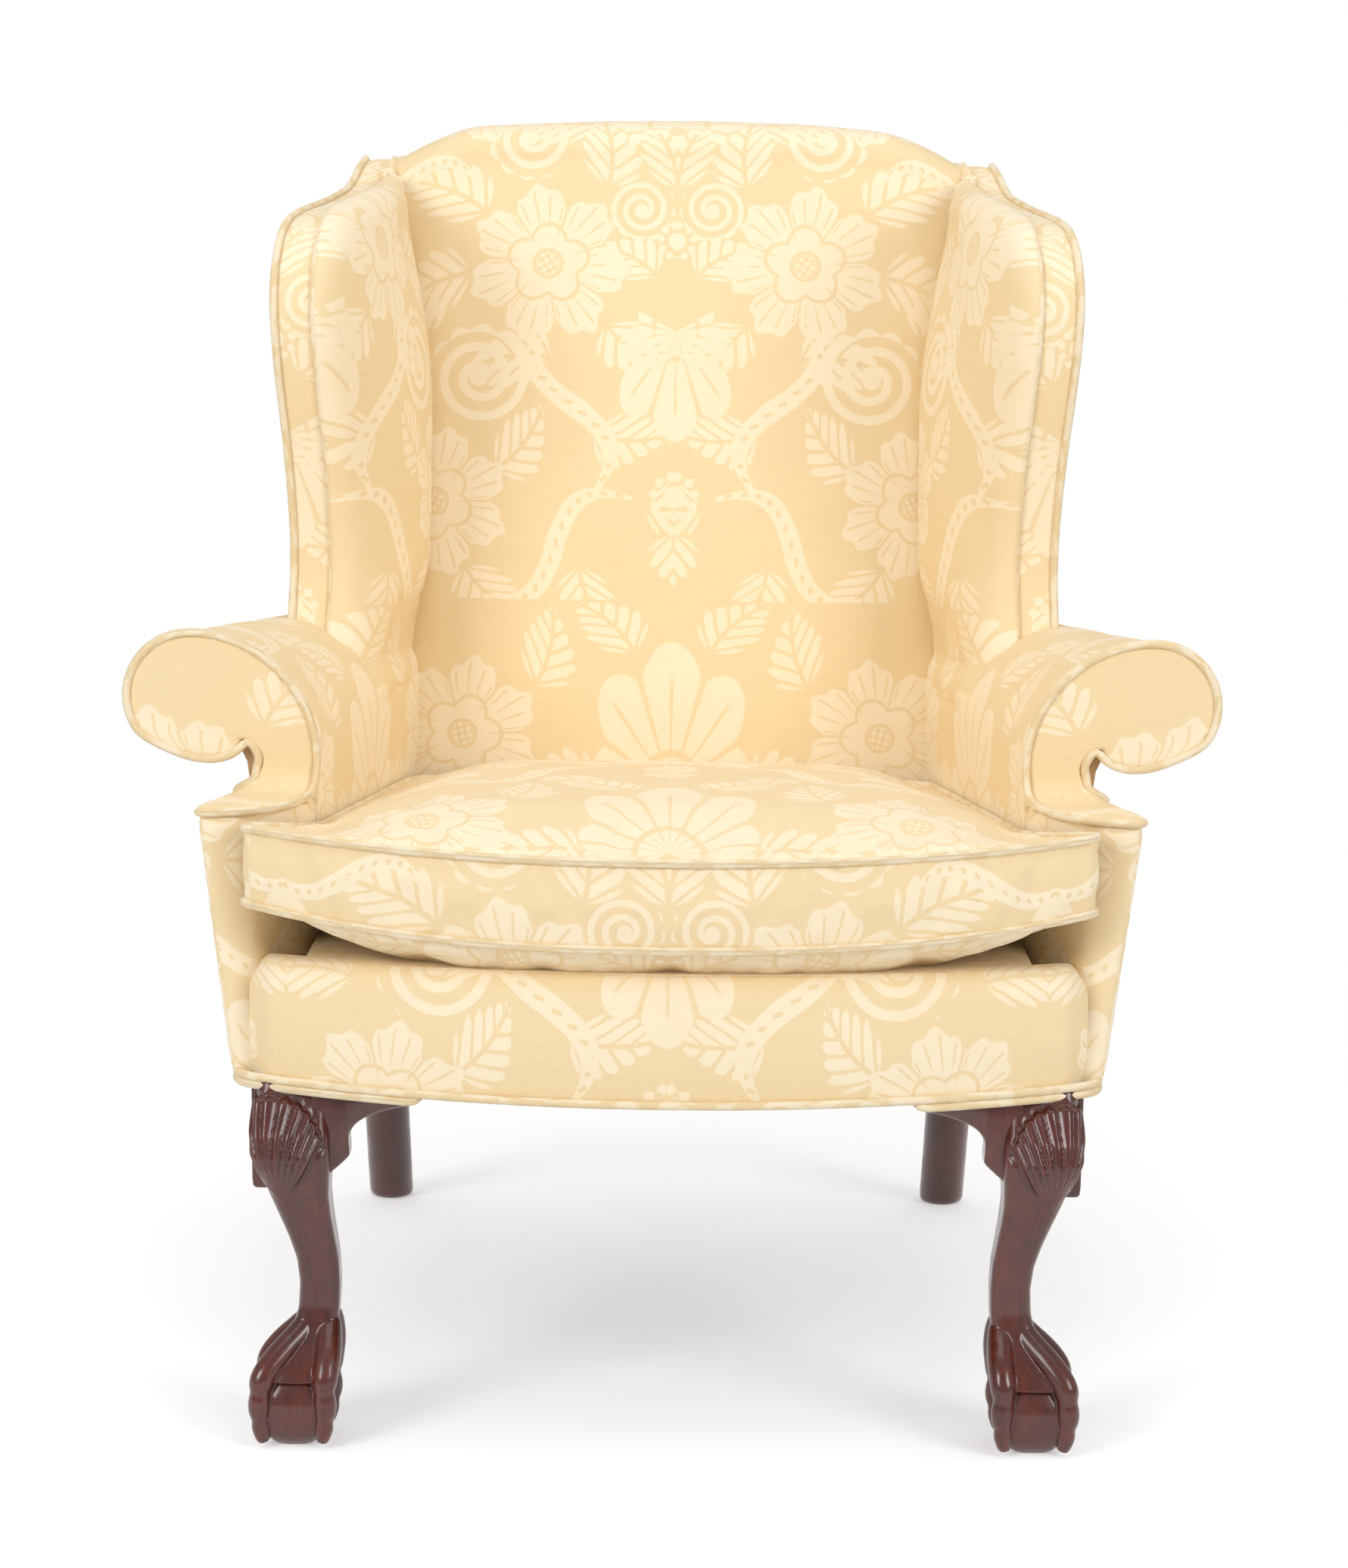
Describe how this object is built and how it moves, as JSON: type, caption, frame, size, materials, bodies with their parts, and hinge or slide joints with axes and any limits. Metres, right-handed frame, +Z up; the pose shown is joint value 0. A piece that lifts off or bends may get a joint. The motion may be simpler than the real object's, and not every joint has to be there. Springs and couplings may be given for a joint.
{
  "type": "wingback armchair",
  "caption": "Upholstered wing armchair with rolled scroll arms, a loose boxed seat cushion, carved cabriole front legs and raked rear legs",
  "frame": {"origin": "middle of the chair's footprint, at floor level", "axes": "+Z up, +X to the right seen from the front, -Y towards the front of the seat"},
  "size_m": [0.915, 0.7747, 1.0794],
  "materials": {
    "upholstery_damask": "woven damask, cream figure on a gold ground",
    "damask_piping": "self piping",
    "polished_mahogany": "dark red brown mahogany, polished",
    "frame_hardwood": "sawn beech",
    "spring_steel": "oiled wire",
    "cushion_filling": "wrapped filling",
    "deck_cloth": "plain platform cloth over padding",
    "plain_backing_cloth": "plain cloth and jute",
    "zip_brass": "zip in a cloth placket"
  },
  "bodies": {
    "chair": {"arm_facing_left": "upholstery_damask", "arm_facing_right": "upholstery_damask", "arm_nose_left": "upholstery_damask", "arm_nose_right": "upholstery_damask", "arm_rail_left": "frame_hardwood", "arm_rail_right": "frame_hardwood", "arm_stump_left": "frame_hardwood", "arm_stump_right": "frame_hardwood", "arm_welt_left": "damask_piping", "arm_welt_right": "damask_piping", "back_post_left": "frame_hardwood", "back_post_right": "frame_hardwood", "back_webbing": "plain_backing_cloth", "corner_blocks": "frame_hardwood", "crest_rail": "frame_hardwood", "dust_cover": "plain_backing_cloth", "front_border": "upholstery_damask", "front_leg_left": "polished_mahogany", "front_leg_right": "polished_mahogany", "front_rail": "frame_hardwood", "inside_arm_left": "upholstery_damask", "inside_arm_right": "upholstery_damask", "inside_back": "upholstery_damask", "inside_wing_left": "upholstery_damask", "inside_wing_right": "upholstery_damask", "knee_brackets_left": "polished_mahogany", "knee_brackets_right": "polished_mahogany", "leg_bolts": "spring_steel", "lower_back_rail": "frame_hardwood", "lower_welt": "damask_piping", "outside_arm_left": "upholstery_damask", "outside_arm_right": "upholstery_damask", "outside_back": "upholstery_damask", "outside_wing_left": "upholstery_damask", "outside_wing_right": "upholstery_damask", "rear_leg_left": "polished_mahogany", "rear_leg_right": "polished_mahogany", "rear_rail": "frame_hardwood", "seat_deck": "deck_cloth", "seat_springs": "spring_steel", "side_rail_left": "frame_hardwood", "side_rail_right": "frame_hardwood", "spring_clips": "spring_steel", "wing_boxing_left": "upholstery_damask", "wing_boxing_right": "upholstery_damask", "wing_post_left": "frame_hardwood", "wing_post_right": "frame_hardwood", "wing_rail_left": "frame_hardwood", "wing_rail_right": "frame_hardwood", "wing_welt_inner_left": "damask_piping", "wing_welt_inner_right": "damask_piping", "wing_welt_outer_left": "damask_piping", "wing_welt_outer_right": "damask_piping"},
    "seat_cushion": {"cushion_cover": "upholstery_damask", "cushion_core": "cushion_filling", "cushion_welt_lower": "damask_piping", "cushion_welt_upper": "damask_piping", "cushion_zipper": "zip_brass"}
  },
  "joints": [
    {"name": "cushion_lift", "type": "slide", "parent": "chair", "child": "seat_cushion", "axis": [0, -0.6, 0.8], "range_m": [0, 0.7]}
  ]
}
